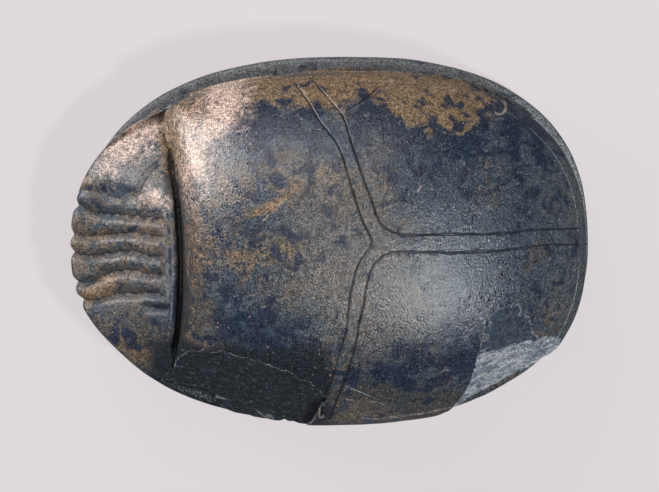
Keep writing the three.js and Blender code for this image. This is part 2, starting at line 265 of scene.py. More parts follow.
# Lines cut in the back: places are shares of the base's half length and half width.
engraving = {
    "width": 0.25,
    "depth": 0.14,
    "floor": 0.05,
    "wobble": 0.035,
    "wobbleSize": 1.8,
    "uneven": 0.35,  # share by which the depth varies
    "unevenSize": 1.7,
    "runOut": 0.3,  # share of a free line's length over which it ends
    "search": 0.8,  # farthest that a line is felt
    "borderInset": 0.75,
    "back": [
        [[-0.145, 0.93], [-0.136, 0.883], [-0.1, 0.822], [-0.053, 0.712], [0.022, 0.564], [0.066, 0.362],
         [0.088, 0.252], [0.11, 0.153], [0.142, 0.05], [0.118, -0.012], [0.083, -0.086], [0.066, -0.166],
         [0.048, -0.276], [0.035, -0.429], [0.004, -0.571], [-0.026, -0.712], [-0.057, -0.798],
         [-0.07, -0.93]],
        [[-0.082, 0.925], [-0.066, 0.9], [-0.013, 0.816], [0.04, 0.724], [0.07, 0.595], [0.105, 0.436],
         [0.123, 0.356], [0.145, 0.276], [0.162, 0.19], [0.18, 0.135], [0.219, 0.098], [0.26, 0.08],
         [0.482, 0.074], [0.64, 0.067], [0.798, 0.074], [0.9, 0.065], [0.96, 0.06]],
        [[-0.04, -0.95], [-0.004, -0.816], [0.026, -0.712], [0.044, -0.638], [0.07, -0.515], [0.083, -0.405],
         [0.105, -0.294], [0.118, -0.184], [0.145, -0.08], [0.171, -0.049], [0.224, -0.012],
         [0.482, -0.025], [0.64, -0.025], [0.798, -0.012], [0.9, -0.02], [0.96, -0.03]],
    ],
    "shoulders": [
        [[0.057, 0.755], [0.123, 0.804], [0.171, 0.853], [0.22, 0.885]],
        [[0.031, -0.742], [0.061, -0.767], [0.118, -0.804], [0.18, -0.853]],
    ],
}
wearMarks = {
    "scratches": [  # pale, in millimetres
        [[8.0, 6.1], [7.5, 5.2], [6.8, 4.5]], [[0.7, -13.5], [3.4, -13.8], [4.2, -14.2]],
        [[-6.4, 2.7], [-5.2, 3.9], [-3.9, 5.0]],
    ],
    "scratchWidth": 0.16,
    "veins": [  # dark
        [[16.4, 11.5], [15.8, 5.8], [15.3, 2.4], [14.9, 1.1]], [[19.4, 0.5], [19.2, -0.5], [19.0, -1.4]],
        [[8.6, 7.4], [8.0, 6.4], [7.6, 5.6]],
    ],
    "veinWidth": 0.2,
    "veinDirt": 0.45,
    "flake": {"at": (14.9, 12.0), "radius": 0.58, "rim": 0.2, "depth": 0.12},
    "pits": [(-6.7, 4.2, 0.2), (-4.2, 0.0, 0.32), (-17.4, 10.1, 0.34), (9.5, -10.6, 0.5), (8.4, -11.2, 0.3)],
    "pitDepth": 0.18,
    "wornWidth": 0.3,  # of the dashes beside the engraved lines
    "wornBeside": 0.2,
    "wornFrom": (12, 14),  # they show where the back falls away, this far aside
}
headCarving = {
    "hollowWidth": 0.8,
    "hollowDepth": 0.46,
    "creaseWidth": 0.3,
    "creaseDepth": 0.1,
    "cheekShare": 0.35,  # of the hollows' depth
    "slitShare": 1.4,  # of the creases' depth
    "search": 1.6,
    "hollows": [
        [[-1.02, 0.258], [-0.978, 0.209], [-0.93, 0.19], [-0.873, 0.184], [-0.816, 0.178], [-0.732, 0.172],
         [-0.66, 0.16]],
        [[-1.04, 0.08], [-0.982, 0.067], [-0.939, 0.067], [-0.882, 0.08], [-0.794, 0.086], [-0.737, 0.074],
         [-0.66, 0.061]],
        [[-1.035, -0.025], [-0.978, -0.043], [-0.899, -0.031], [-0.842, -0.018], [-0.803, -0.012],
         [-0.781, -0.018], [-0.737, -0.037], [-0.662, -0.037]],
        [[-1.022, -0.19], [-0.961, -0.178], [-0.904, -0.141], [-0.816, -0.123], [-0.737, -0.135],
         [-0.66, -0.135]],
        [[-1.0, -0.288], [-0.943, -0.282], [-0.873, -0.252], [-0.798, -0.252], [-0.741, -0.239],
         [-0.66, -0.264]],
        [[-0.741, -0.325], [-0.66, -0.325]],
    ],
    "cheekHollow": [[-0.99, 0.32], [-0.939, 0.313], [-0.877, 0.288], [-0.829, 0.264]],
    "slit": [[-0.649, 0.718], [-0.645, 0.681], [-0.64, 0.626]],
    "cheekEdge": [[-0.63, 0.58], [-0.645, 0.491], [-0.68, 0.454], [-0.706, 0.429], [-0.732, 0.387],
                  [-0.75, 0.344], [-0.763, 0.282]],
    "crownEdge": [[-0.816, 0.3], [-0.825, 0.16], [-0.825, 0.018], [-0.82, -0.117], [-0.816, -0.28]],
    "crownRear": [[-0.662, 0.32], [-0.655, 0.19], [-0.65, 0.055], [-0.65, -0.086], [-0.65, -0.221],
                  [-0.66, -0.35]],
    "steps": [  # edge, height, the side that is raised, and how far it runs out
        ("cheekEdge", 0.38, -1, 3.2), ("crownEdge", 0.2, 1, 2.6), ("crownRear", 0.3, -1, 1.0),
    ],
    "stepEnds": 0.15,
    "stepRound": 0.35,
}


def smoothPath(marks, step=0.5):
    # a curve through all the marks, with points about a step apart
    marks = np.array(marks, float)
    ends = np.vstack([2 * marks[0] - marks[1], marks, 2 * marks[-1] - marks[-2]])
    points = [marks[:1]]
    for index in range(len(marks) - 1):
        a, b, c, d = ends[index:index + 4]
        count = max(int(np.linalg.norm(c - b) / step), 1)
        t = (np.arange(count) + 1)[:, None] / count
        points.append(0.5 * (2 * b + (c - a) * t + (2 * a - 5 * b + 4 * c - d) * t ** 2
                             + (3 * b - a - 3 * c + d) * t ** 3))
    return np.vstack(points)


def onBack(marks):
    plan = smoothPath(np.array(marks) * [halfLength, halfWidth])
    return np.column_stack([plan, backLevel(plan[:, 0], plan[:, 1])])


def borderLine(start, end):
    angle = np.radians(np.linspace(start, end, 90))
    reach = edgeReach(angle) - engraving["borderInset"]
    x, y = fromBack(reach, angle)
    return np.column_stack([x, y, backLevel(x, y)])


legCarving = {
    "width": 2.6,
    "relief": 0.95,
    "footRise": 1.0,
    "taper": 0.25,
    "steepness": 1.25,
    "paths": [  # degrees round the oval, and share of the wall's height
        [[112, 0.95], [126, 0.72], [140, 0.35], [152, 0.0]],
        [[104, 1.0], [96, 0.65], [86, 0.25], [77, 0.0]],
        [[88, 0.95], [68, 0.8], [47, 0.42], [31, 0.0]],
    ],
}


def legLines():
    lines = []
    for side in (1, -1):
        for marks in legCarving["paths"]:
            path = smoothPath(marks, 4.0)
            angle, share = side * np.radians(path[:, 0]), path[:, 1]
            low = ovalReach(angle) - scarabForm["wallInset"]
            high = edgeReach(angle) - scarabForm["lipInset"]
            floor = scarabForm["thickness"] + legCarving["footRise"]
            ceiling = edgeLevel(angle) - scarabForm["lipHeight"]
            reach = low + (high - low) * share
            level = floor + (ceiling - floor) * share
            lines.append(np.column_stack([*fromBack(reach, angle, share), level]))
    return lines


def nearLine(points, line, reach):
    # how far each point is from the line, its share along it and its side (plan view), within reach
    distance = np.full(len(points), 1e6)
    share = np.zeros(len(points))
    side = np.zeros(len(points))
    near = np.flatnonzero(np.all((points > line.min(0) - reach) & (points < line.max(0) + reach), axis=1))
    for index in range(len(line) - 1):
        start, run = line[index], line[index + 1] - line[index]
        away = points[near] - start
        t = np.clip(away @ run / max(run @ run, 1e-9), 0, 1)
        here = np.linalg.norm(away - t[:, None] * run, axis=1)
        closer = here < distance[near]
        chosen = near[closer]
        distance[chosen] = here[closer]
        share[chosen] = (index + t[closer]) / (len(line) - 1)
        side[chosen] = np.sign(run[0] * away[closer, 1] - run[1] * away[closer, 0])
    return distance, share, side


def overEdge(marks):
    # the line runs on over the head's front edge and down the side below it
    plan = smoothPath(np.array(marks) * [halfLength, halfWidth])
    angle, out = aroundBack(plan[:, 0], plan[:, 1])
    plan, angle = plan[out < 0.995], angle[out < 0.995][0]
    side = []
    for row in range(meshPlan["lipRows"] + 4, -1, -1):
        reach, level, share = sideRow(row, angle)
        side.append([*fromBack(reach, angle, share), level])
    return np.vstack([side, np.column_stack([plan, backLevel(plan[:, 0], plan[:, 1])])])


def onPlan(marks):
    plan = smoothPath(marks)
    return np.column_stack([plan, backLevel(plan[:, 0], plan[:, 1])])


backLines = [onBack(marks) for marks in engraving["back"]]
borderLines = [borderLine(3, 83), borderLine(-83, -3)]
backLines += borderLines
scratchLines = [onPlan(marks) for marks in wearMarks["scratches"]]
veinLines = [onPlan(marks) for marks in wearMarks["veins"]]
shoulderLines = [onBack(marks) for marks in engraving["shoulders"]]
hollowLines = [overEdge(marks) for marks in headCarving["hollows"][:-1]]
hollowLines.append(onBack(headCarving["hollows"][-1]))
cheekLines = [overEdge(headCarving["cheekHollow"])]


def needsDetail(points, rows, level):
    # where the mesh is made finer: the head and every cut, and close to the cuts once more
    x, y, _ = points.T
    onTop = rows <= meshPlan["lipRows"]
    onHead = x < neckAt(y) + meshPlan["neckMargin"]
    wanted = onTop & onHead if level == 1 else np.zeros(len(points), bool)
    fineLines = backLines + shoulderLines
    if level == 1:
        fineLines = fineLines + scratchLines + veinLines
    for line in fineLines:
        wanted |= onTop & (nearLine(points, line, 1.0)[0] < meshPlan["nearLine"][level - 1])
    return wanted


def readPoints(mesh):
    values = np.empty(len(mesh.vertices) * 3)
    mesh.vertices.foreach_get("co", values)
    return values.reshape(-1, 3)


def readNormals(mesh):
    values = np.empty(len(mesh.vertices) * 3)
    mesh.vertex_normals.foreach_get("vector", values)
    return values.reshape(-1, 3)


def selectFaces(mesh, wanted):
    bpy.ops.object.mode_set(mode="EDIT")
    bpy.ops.mesh.select_mode(type="FACE")
    bpy.ops.mesh.select_all(action="DESELECT")
    bpy.ops.object.mode_set(mode="OBJECT")
    loops = np.empty(len(mesh.loops), int)
    mesh.loops.foreach_get("vertex_index", loops)
    starts = np.empty(len(mesh.polygons), int)
    mesh.polygons.foreach_get("loop_start", starts)
    mesh.polygons.foreach_set("select", np.logical_or.reduceat(wanted[loops], starts))
    bpy.ops.object.mode_set(mode="EDIT")


def flatDrawing():
    bpy.ops.object.select_all(action="DESELECT")
    bpy.ops.mesh.primitive_grid_add(x_subdivisions=meshPlan["quadsAlong"],
                                    y_subdivisions=meshPlan["quadsAcross"], size=2)
    stone = bpy.context.object
    stone.name = "carvedStone"
    bpy.ops.object.mode_set(mode="EDIT")
    bpy.ops.mesh.select_all(action="SELECT")
    bpy.ops.mesh.region_to_loop()
    rows = sum(count for key, count in meshPlan.items() if key.endswith("Rows"))
    for _ in range(rows):
        bpy.ops.mesh.extrude_region_move(TRANSFORM_OT_translate={"value": (0, 0, -1)})
    bpy.ops.mesh.edge_face_add()
    bpy.ops.object.mode_set(mode="OBJECT")
    return stone


def refine(stone):
    mesh = stone.data
    for level in range(3):
        points, _, rows = layOver(readPoints(mesh))
        wanted = rows == 0 if level == 0 else needsDetail(points, rows, level)
        selectFaces(mesh, wanted)
        bpy.ops.mesh.subdivide(number_cuts=1)
        bpy.ops.object.mode_set(mode="OBJECT")
    print("refined", sum(len(face.vertices) - 2 for face in mesh.polygons), "triangles")


def cutDepth(points, rows):
    # how deep the carving goes at each point, and how dark it is painted, in the depth of a narrow cut: dirt
    # in the narrow cuts, painted shade in the neck's groove and the head's hollows
    top = rows <= meshPlan["lipRows"]
    bends = [grain(points, engraving["wobbleSize"], 2, seed) for seed in (3.0, 9.0)]
    moved = points + engraving["wobble"] * np.column_stack([*bends, np.zeros(len(points))])
    uneven = 1 + engraving["uneven"] * grain(points, engraving["unevenSize"], 2, 5.0)
    narrow, soft = np.zeros(len(points)), np.zeros(len(points))
    for lines, free in ((backLines, False), (shoulderLines, True)):
        for line in lines:
            distance, share, _ = nearLine(moved, line, engraving["search"])
            runOut = smooth(0, engraving["runOut"], 1 - share) if free else 1
            cut = 1 - smooth(engraving["floor"] / 2, engraving["width"] / 2, distance)
            narrow = np.maximum(narrow, engraving["depth"] * cut * uneven * runOut * top)
    crease = np.zeros(len(points))
    for line in hollowLines + cheekLines:
        distance, share, _ = nearLine(moved, line, headCarving["search"])
        shallow = headCarving["cheekShare"] if line is cheekLines[0] else 1
        ends = smooth(-0.02, 0.05, 1 - share) * shallow
        soft = np.maximum(soft, ends * np.exp(-(distance / headCarving["hollowWidth"] * 2) ** 2))
        crease = np.maximum(crease, ends * (1 - smooth(0, headCarving["creaseWidth"] / 2, distance)))
    slit = nearLine(moved, onBack(headCarving["slit"]), 1)[0]
    crease = np.maximum(crease, headCarving["slitShare"] * (1 - smooth(0.05, 0.3, slit)))
    narrow = np.maximum(narrow, headCarving["creaseDepth"] * crease * uneven)
    # painted shade in the neck's groove and the head's hollows, added to the dirt of the narrow cuts
    paintedGrooveShade = np.maximum(paintedNeckShade(points) * top, neckShadeForm["inHollows"] * soft)
    dirtAndShadeDepth = np.maximum(narrow, engraving["depth"] * paintedGrooveShade)
    return narrow + headCarving["hollowDepth"] * soft, dirtAndShadeDepth, top


# Painted shade laid along the neck's groove, and a share of it in the head's hollows.
neckShadeForm = {
    "halfWidth": 0.6,
    "wider": 0.5,
    "widerAt": -5.4,  # y
    "widerSpread": 2.6,
    "past": 0.1,  # its middle, tailwards of the groove's
    "bend": 0.3,
    "bendSpread": 3,
    "ends": (1.2, 1.5),
    "inHollows": 0.55,  # share of the painted shade laid in the head's hollows
}


def paintedNeckShade(points):
    # painted shade along the neck's groove and on the thorax's slope beside it, widest partway down
    x, y, _ = points.T
    (low, high), (lowEnd, highEnd) = headForm["neckFull"], neckShadeForm["ends"]
    settled = smooth(low - lowEnd, low, y) * (1 - smooth(high - highEnd, high, y))
    away = y - neckShadeForm["widerAt"]
    reach = neckShadeForm["halfWidth"] + neckShadeForm["wider"] * np.exp(-(away / neckShadeForm["widerSpread"]) ** 2)
    bend = neckShadeForm["bend"] * np.exp(-(away / neckShadeForm["bendSpread"]) ** 2)
    beside = x - neckAt(y) - neckShadeForm["past"] - bend
    return settled * (1 - smooth(0.3, 1, np.abs(beside) / reach))


def wearAndPaintedHighlight(points, narrow):
    # pale scratches, pale dashes beside the lines that are partly wear and partly painted highlight, dark
    # veins, small pits and one ring-shaped flake whose pale rim is brightest on one side as a painted
    # highlight
    pale, vein, dent = np.zeros(len(points)), np.zeros(len(points)), np.zeros(len(points))
    broken = smooth(-0.15, 0.2, grain(points, 0.9, 2, 23.0))
    for line in scratchLines:
        beside = nearLine(points, line, 1)[0] / wearMarks["scratchWidth"]
        pale = np.maximum(pale, broken * (1 - smooth(0.3, 1, beside)))
    for line in veinLines:
        vein = np.maximum(vein, 1 - smooth(0, 1, nearLine(points, line, 1)[0] / wearMarks["veinWidth"]))
    steep = smooth(*wearMarks["wornFrom"], np.abs(points[:, 1]))
    paleWearAndHighlight = smooth(0.12, 0.35, grain(points, 1.1, 2, 37.0)) * steep
    for line in borderLines + backLines[:1]:
        beside = np.abs(nearLine(points, line, 1)[0] - wearMarks["wornBeside"]) / wearMarks["wornWidth"] * 2
        pale = np.maximum(pale, paleWearAndHighlight * (1 - smooth(0.4, 1, beside)))
    flake = wearMarks["flake"]
    away = np.hypot(points[:, 0] - flake["at"][0], points[:, 1] - flake["at"][1])
    ring = 1 - smooth(0.3, 1, np.abs(away - flake["radius"]) / flake["rim"])
    # painted highlight: the flake's rim is brightest on its tail side
    towardsTail = flake["at"][1] - points[:, 1] + points[:, 0] - flake["at"][0]
    paintedLitSide = smooth(-0.6, 0.4, towardsTail / flake["radius"])
    pale = np.maximum(pale, ring * (0.3 + 0.7 * paintedLitSide))
    dent += flake["depth"] * (1 - smooth(0.5, 1, away / flake["radius"]))
    for x, y, radius in wearMarks["pits"]:
        away = np.hypot(points[:, 0] - x, points[:, 1] - y) + 0.12 * grain(points, 0.4, 2, 41.0)
        pit = 1 - smooth(0.4, 1.1, away / radius)
        dent, vein = np.maximum(dent, wearMarks["pitDepth"] * pit), np.maximum(vein, 1.6 * pit)
    return pale, np.maximum(narrow, engraving["depth"] * wearMarks["veinDirt"] * vein), dent


def headRelief(points):
    # low steps on the head: the cheek plate over the crown, the crown over the shield
    rise = np.zeros(len(points))
    ending = headCarving["stepEnds"]
    for edge, height, side, fade in headCarving["steps"]:
        distance, share, facing = nearLine(points, onBack(headCarving[edge]), fade)
        ends = smooth(0, ending, share) * smooth(0, ending, 1 - share)
        profile = smooth(0, headCarving["stepRound"], distance) * (1 - smooth(fade * 0.4, fade, distance))
        raised = np.where(facing * side > 0, profile, 0)
        rise += height * raised * ends * (distance < fade)
    return rise


def carve(stone):
    mesh = stone.data
    points, _, rows = layOver(readPoints(mesh))
    mesh.vertices.foreach_set("co", points.ravel())
    mesh.update()
    normals = readNormals(mesh)
    depth, narrow, top = cutDepth(points, rows)
    onHead = top & (points[:, 0] < headForm["neck"] + 0.5)
    pale, narrow, dent = wearAndPaintedHighlight(points, narrow)
    pale, dent = pale * top, dent * top
    move = -depth - dent + np.where(onHead, headRelief(points), 0)
    waves = scarabForm["waviness"] * grain(points, scarabForm["wavinessSize"], 3, 1.0)
    move += waves * (rows < rows.max() - meshPlan["underRows"])
    legWall = (rows > meshPlan["lipRows"]) & (rows <= meshPlan["lipRows"] + meshPlan["wallRows"])
    relief = np.zeros(len(points))
    for line in legLines():
        distance, share, _ = nearLine(points, line, legCarving["width"])
        half = legCarving["width"] / 2 * (1 - legCarving["taper"] * share)
        rounded = quarterRound(legCarving["steepness"] * (1 - distance / half))
        relief = np.maximum(relief, rounded * (distance < half))
    move += legCarving["relief"] * relief * legWall
    mesh.vertices.foreach_set("co", (points + normals * move[:, None]).ravel())
    # cut: dirt in the cuts and veins, and painted shade in the neck's groove and the head's hollows
    setField(mesh, "cut", np.clip(narrow / engraving["depth"], 0, 1.5))
    setField(mesh, "paleWearAndHighlight", pale)
    mesh.update()
    print("carved")


def setField(mesh, name, values, domain="POINT"):
    attribute = mesh.attributes.get(name) or mesh.attributes.new(name, "FLOAT", domain)
    attribute.data.foreach_set("value", np.broadcast_to(values, len(attribute.data)).astype(np.float32))


chips = {
    "scoopHeight": 6.0,
    "cutterHeight": 5.0,
    "spacing": 0.17,
    "ragged": 0.12,  # how far its outline wanders
    "raggedSizes": (1.5, 0.8),
    "swell": (3.0, 0.3),  # size and height of the broken surface's waves
    "rough": (0.8, 0.11),
    "sink": 0.1,
    "places": [  # where a steep side starts and ends it, round the body, and its half size up the body
        {"along": -0.346, "across": -0.842, "round": 302, "up": 63, "depth": 2.2, "lean": 13, "turn": -4,
         "pale": 0, "from": -7.4, "to": 5.9, "halfUp": 8},
        {"along": 0.546, "across": -0.778, "round": 130, "up": 30, "depth": 1.75, "lean": 17, "turn": -40,
         "pale": 1, "from": -0.95, "to": 10, "halfUp": 8},
        {"along": 0.663, "across": -0.489, "round": 16, "up": 31, "depth": 0.36, "lean": 2, "turn": 1,
         "pale": 0.3, "from": -3.6, "to": 3.6, "halfUp": 4},
    ],
}


def chipCutter(chip):
    # a dish with a broken surface, closed above the stone: it cuts away what the chip took
    height = chips["scoopHeight"]
    x, y, near = chip["along"] * halfLength, chip["across"] * halfWidth, 0.05
    east, west, north, south, level = domeLevel(np.array([x + near, x - near, x, x, x]),
                                                np.array([y, y, y + near, y - near, y])).tolist()
    normal = Vector((west - east, south - north, 2 * near))
    normal.normalize()
    side = Vector((0, 0, 1)).cross(normal).normalized()
    outward = Matrix.Rotation(math.radians(chip["lean"]), 3, side) @ normal
    along = Matrix.Rotation(math.radians(chip["turn"]), 3, outward) @ side
    rise = outward.cross(along)
    halfRound, middle = (chip["to"] - chip["from"]) / 2, (chip["to"] + chip["from"]) / 2
    bpy.ops.object.select_all(action="DESELECT")
    bpy.ops.mesh.primitive_grid_add(x_subdivisions=int(2 * halfRound / chips["spacing"]),
                                    y_subdivisions=int(2 * chip["halfUp"] / chips["spacing"]), size=2)
    cutter = bpy.context.object
    bpy.ops.object.mode_set(mode="EDIT")
    bpy.ops.mesh.select_all(action="SELECT")
    bpy.ops.mesh.extrude_region_move(TRANSFORM_OT_translate={"value": (0, 0, chips["cutterHeight"])})
    bpy.ops.mesh.select_all(action="SELECT")
    bpy.ops.mesh.normals_make_consistent(inside=False)
    bpy.ops.object.mode_set(mode="OBJECT")
    flat = readPoints(cutter.data)
    a, b, lift = flat[:, 0] * halfRound + middle, flat[:, 1] * chip["halfUp"], flat[:, 2]
    bowl = 1 - a ** 2 / (chip["round"] * height) - b ** 2 / (chip["up"] * height)
    lift = lift + (height - chip["depth"]) - height * np.sqrt(np.maximum(bowl, 0))
    spot = np.column_stack([a, b, 0 * a])
    roundSize, upSize = chips["raggedSizes"]
    a = a + chips["ragged"] * 2 * grain(spot, roundSize, 4, 71.0)
    b = b + chips["ragged"] * grain(spot, upSize, 3, 81.0)
    (swellSize, swell), (roughSize, rough) = chips["swell"], chips["rough"]
    waves = swell * np.abs(grain(spot, swellSize, 3, chip["turn"])) + rough * grain(spot, roughSize, 4, 51.0)
    lift += waves - chips["sink"]
    points = np.array([x, y, level]) + np.outer(a, along) + np.outer(b, rise) + np.outer(lift, outward)
    cutter.data.vertices.foreach_set("co", points.ravel())
    setField(cutter.data, "broken", 1, "FACE")
    setField(cutter.data, "paleBreak", chip["pale"], "FACE")
    cutter.data.update()
    return cutter


def brokenEdge(mesh):
    # points where a chip's surface meets the old one: only some of the faces there are broken
    loops = np.empty(len(mesh.loops), int)
    mesh.loops.foreach_get("vertex_index", loops)
    sizes = np.empty(len(mesh.polygons), int)
    mesh.polygons.foreach_get("loop_total", sizes)
    values = np.empty(len(mesh.polygons), np.float32)
    mesh.attributes["broken"].data.foreach_get("value", values)
    count = len(mesh.vertices)
    share = np.bincount(loops, np.repeat(values, sizes), count) / np.bincount(loops, minlength=count)
    return ((share > 0.05) & (share < 0.95)).astype(float)


threadHole = {"radius": 1.2, "sides": 48, "through": 1.5}  # through: times the stone's length


def threadCutter():
    level = (scarabForm["thickness"] + scarabForm["edgeLevel"] - scarabForm["headDrop"]) / 2
    bpy.ops.object.select_all(action="DESELECT")
    bpy.ops.mesh.primitive_cylinder_add(vertices=threadHole["sides"], radius=threadHole["radius"],
                                        depth=scarabForm["length"] * threadHole["through"],
                                        location=(0, 0, level),
                                        rotation=(0, math.pi / 2, 0))
    bpy.ops.object.transform_apply(location=True, rotation=True)
    return bpy.context.object


def cutAway(stone, cutter):
    modifier = stone.modifiers.new("cutAway", "BOOLEAN")
    modifier.operation, modifier.solver, modifier.object = "DIFFERENCE", "MANIFOLD", cutter
    bpy.ops.object.select_all(action="DESELECT")
    stone.select_set(True)
    bpy.context.view_layer.objects.active = stone
    bpy.ops.object.modifier_apply(modifier=modifier.name)
    bpy.data.objects.remove(cutter)


def finishSurface(stone):
    mesh = stone.data
    points = readPoints(mesh)
    for name, values in coloursAndPaintedLight(points).items():
        setField(mesh, name, values)
    mesh.vertices.foreach_set("co", ((points + [overhang / 2, 0, 0]) * millimetre).ravel())
    mesh.update()
    print("finished", sum(len(face.vertices) - 2 for face in mesh.polygons), "triangles")


# Colour areas in the stone: place (mm), half sizes, turn in degrees, strength. The cream and brown areas are
# partly painted sheen, the olive ones partly painted shade.
colourFlow = {"size": 4.5, "reach": 1.1}  # how far, in mm, their outlines wander
colourAreas = {
    "navy": [
        [-4.6, 11.4, 3.9, 1.8, 8, 1.0], [-7.6, 10.1, 1.8, 1.4, 0, 0.9], [-1.4, 9.8, 2.4, 1.7, -20, 0.75],
        [-8.2, 8.0, 2.3, 1.5, 0, 0.6], [-7.7, 5.5, 4.5, 2.7, 0, 0.3], [-11.3, 2.2, 1.8, 2.7, 0, 0.3],
        [-6.8, -6.6, 4.2, 1.8, -10, 0.75], [-10.3, -4.1, 1.8, 1.8, 0, 0.5], [-3.9, -8.9, 2.4, 1.2, -15, 0.6],
        [-11.9, -7.3, 1.8, 1.1, -15, 0.5], [-5.4, 1.4, 4.5, 1.8, 0, 0.4], [1.2, 9.1, 1.4, 2.1, 0, 0.6],
        [3.3, 11.5, 2.4, 1.5, 0, 1.0], [7.4, 9.5, 4.5, 1.8, -8, 0.85], [12.4, 9.6, 2.7, 1.5, 0, 0.75],
        [16.4, 11.4, 3.3, 1.5, -25, 0.85], [18.4, 8.4, 1.8, 2.4, 0, 0.7], [8.8, 5.5, 6.0, 2.7, 0, 0.35],
        [15.0, 4.9, 3.0, 3.6, 0, 0.25], [4.9, -11.6, 3.6, 1.1, 5, 1.0], [7.5, -9.3, 3.6, 1.6, 8, 0.6],
        [8.9, -10.2, 3.3, 1.5, 20, 0.95],
        [11.1, -8.3, 1.5, 1.8, 0, 0.9], [11.9, -10.8, 1.2, 2.1, 0, 0.8], [13.6, -6.3, 3.3, 1.5, 20, 0.6],
        [-14.2, -3.7, 0.4, 3.0, 0, 0.9], [-19.1, -7.0, 0.9, 1.8, 0, 1.0], [-15.8, -5.7, 0.8, 0.8, 0, 0.8],
        [-18.8, 7.5, 1.7, 1.1, 20, 0.5], [-15.8, 5.9, 1.1, 0.8, 0, 0.7], [-21.6, 4.2, 1.2, 0.5, -10, 0.5],
        [-14.6, 2.9, 0.4, 2.4, 0, 0.5], [10.4, 1.0, 4.5, 1.2, 0, 0.3], [18.4, -3.6, 2.4, 2.7, 0, 0.2],
        [-0.1, -8.2, 0.9, 1.8, 0, 0.4],
    ],
    "ochre": [
        [7.8, 12.9, 3.9, 2.1, -8, 1.0], [10.4, 11.0, 2.1, 1.0, 0, 1.0], [2.5, 14.7, 3.3, 1.4, 0, 1.0],
        [5.8, 14.0, 3.6, 1.2, 0, 0.9], [13.3, 13.7, 2.7, 0.7, -15, 0.7], [11.7, 12.4, 2.4, 1.4, 0, 0.85],
        [-6.4, 14.3, 3.9, 1.4, 5, 0.85], [-1.5, 13.6, 1.8, 1.2, 0, 0.8], [-13.8, 9.8, 0.8, 2.7, 5, 0.8],
        [-12.4, 12.3, 1.5, 1.2, 35, 0.75], [-5.8, 4.2, 2.9, 0.6, 35, 0.75], [-9.0, -0.5, 3.9, 0.8, 5, 0.5],
        [-3.7, 0.2, 2.4, 0.9, 0, 0.4], [-13.1, -1.4, 0.8, 4.5, 0, 0.35], [-11.9, -8.4, 3.3, 0.8, -12, 0.6],
        [-21.5, -3.9, 1.6, 0.6, 25, 0.85], [-21.8, 6.3, 0.6, 0.4, 30, 0.9], [-15.7, 11.3, 1.2, 0.5, 0, 0.85],
        [-14.8, 9.2, 0.4, 1.7, 0, 0.7], [-17.8, -9.3, 2.4, 0.9, -35, 0.7], [-20.1, 1.1, 1.8, 0.9, 0, 0.4],
        [-17.8, -1.3, 1.8, 1.2, 0, 0.35], [0.0, 6.9, 2.1, 1.4, -20, 0.5],
    ],
    # cream areas: partly cream stone, partly painted sheen on the slopes that face the light
    "creamAndSheen": [
        [-9.4, 13.5, 1.9, 2.4, -20, 1.1], [-10.3, 11.0, 1.5, 1.8, -20, 0.9], [-12.0, 7.8, 1.2, 2.2, 0, 0.9],
        [-13.0, 10.8, 1.0, 1.8, -10, 0.6], [-17.1, 10.1, 2.6, 1.4, 35, 0.95],
        [-19.4, 7.9, 1.5, 0.9, 35, 0.5], [-15.7, 4.7, 1.2, 0.9, 0, 0.9], [-12.6, 3.7, 0.7, 2.7, 0, 0.35],
    ],
    # brown areas in the middle of the back: brown stone, brightened as a painted sheen beside the lamp's
    # highlight
    "brownAndSheen": [
        [0.2, 1.9, 4.5, 3.6, 0, 0.8], [2.1, -3.1, 2.7, 4.5, 0, 0.9], [-0.6, 6.1, 2.1, 2.1, 0, 0.7],
        [5.3, -4.7, 3.9, 3.9, 0, 0.9], [-3.2, -3.3, 3.6, 2.4, 0, 0.6], [4.0, 0.3, 3.0, 0.9, 0, 0.6],
    ],
    # olive areas along the lower side, the head's lower side and beside the neck's groove: partly olive
    # stone, partly painted shade
    "oliveAndShade": [
        [8.4, -13.9, 5.7, 1.0, 0, 1.0], [2.8, -13.1, 3.0, 0.9, 0, 0.9], [-18.5, -7.5, 3.2, 3.2, 0, 0.75],
        [-20.0, -2.5, 2.6, 2.2, 0, 0.5], [-12.9, -4.5, 0.9, 4.6, 0, 1.0],
    ],
    "tailGrey": [
        [21.3, 2.1, 1.8, 7.6, 0, 0.9], [19.9, -5.6, 2.1, 2.7, 30, 0.7], [19.5, 4.6, 2.4, 3.6, 0, 0.5],
    ],
}


def coloursAndPaintedLight(points):
    # every area has a soft, uneven outline, and the areas of one colour add up
    size, reach = colourFlow["size"], colourFlow["reach"]
    flow = np.column_stack([grain(points, size, 3, 13.0), grain(points, size, 3, 19.0)]) * reach
    x, y, z = points.T
    x, y = x + flow[:, 0], y + flow[:, 1]
    high = smooth(scarabForm["thickness"] + 1.5, scarabForm["thickness"] + 4.0, z)
    fields = {}
    for name, areas in colourAreas.items():
        total = np.zeros(len(points))
        for px, py, rx, ry, turn, strength in areas:
            c, s = math.cos(math.radians(turn)), math.sin(math.radians(turn))
            along, across = (x - px) * c + (y - py) * s, (y - py) * c - (x - px) * s
            total = np.hypot(total, strength * np.exp(-0.6 * ((along / rx) ** 2 + (across / ry) ** 2)))
        fields[name] = np.minimum(total, 1.1) * high
    fields["base"] = 1 - smooth(scarabForm["thickness"] + 0.1, scarabForm["thickness"] + 2.5, z)
    fields["head"] = 1 - smooth(-0.6, 0.3, points[:, 0] - neckAt(points[:, 1]))
    fields["wing"] = smooth(3, 9, x) * smooth(-7, -3, y) * high
    # painted shade: the base's strip under the head's chip is darker towards the lower side, partly the dark
    # broken stone
    underChip = smooth(-19, -15.5, x) * (1 - smooth(-2.5, 1, x))
    fields["dark"] = underChip * smooth(6.5, 9.5, -y) * smooth(0.5, 2, z)
    return fields


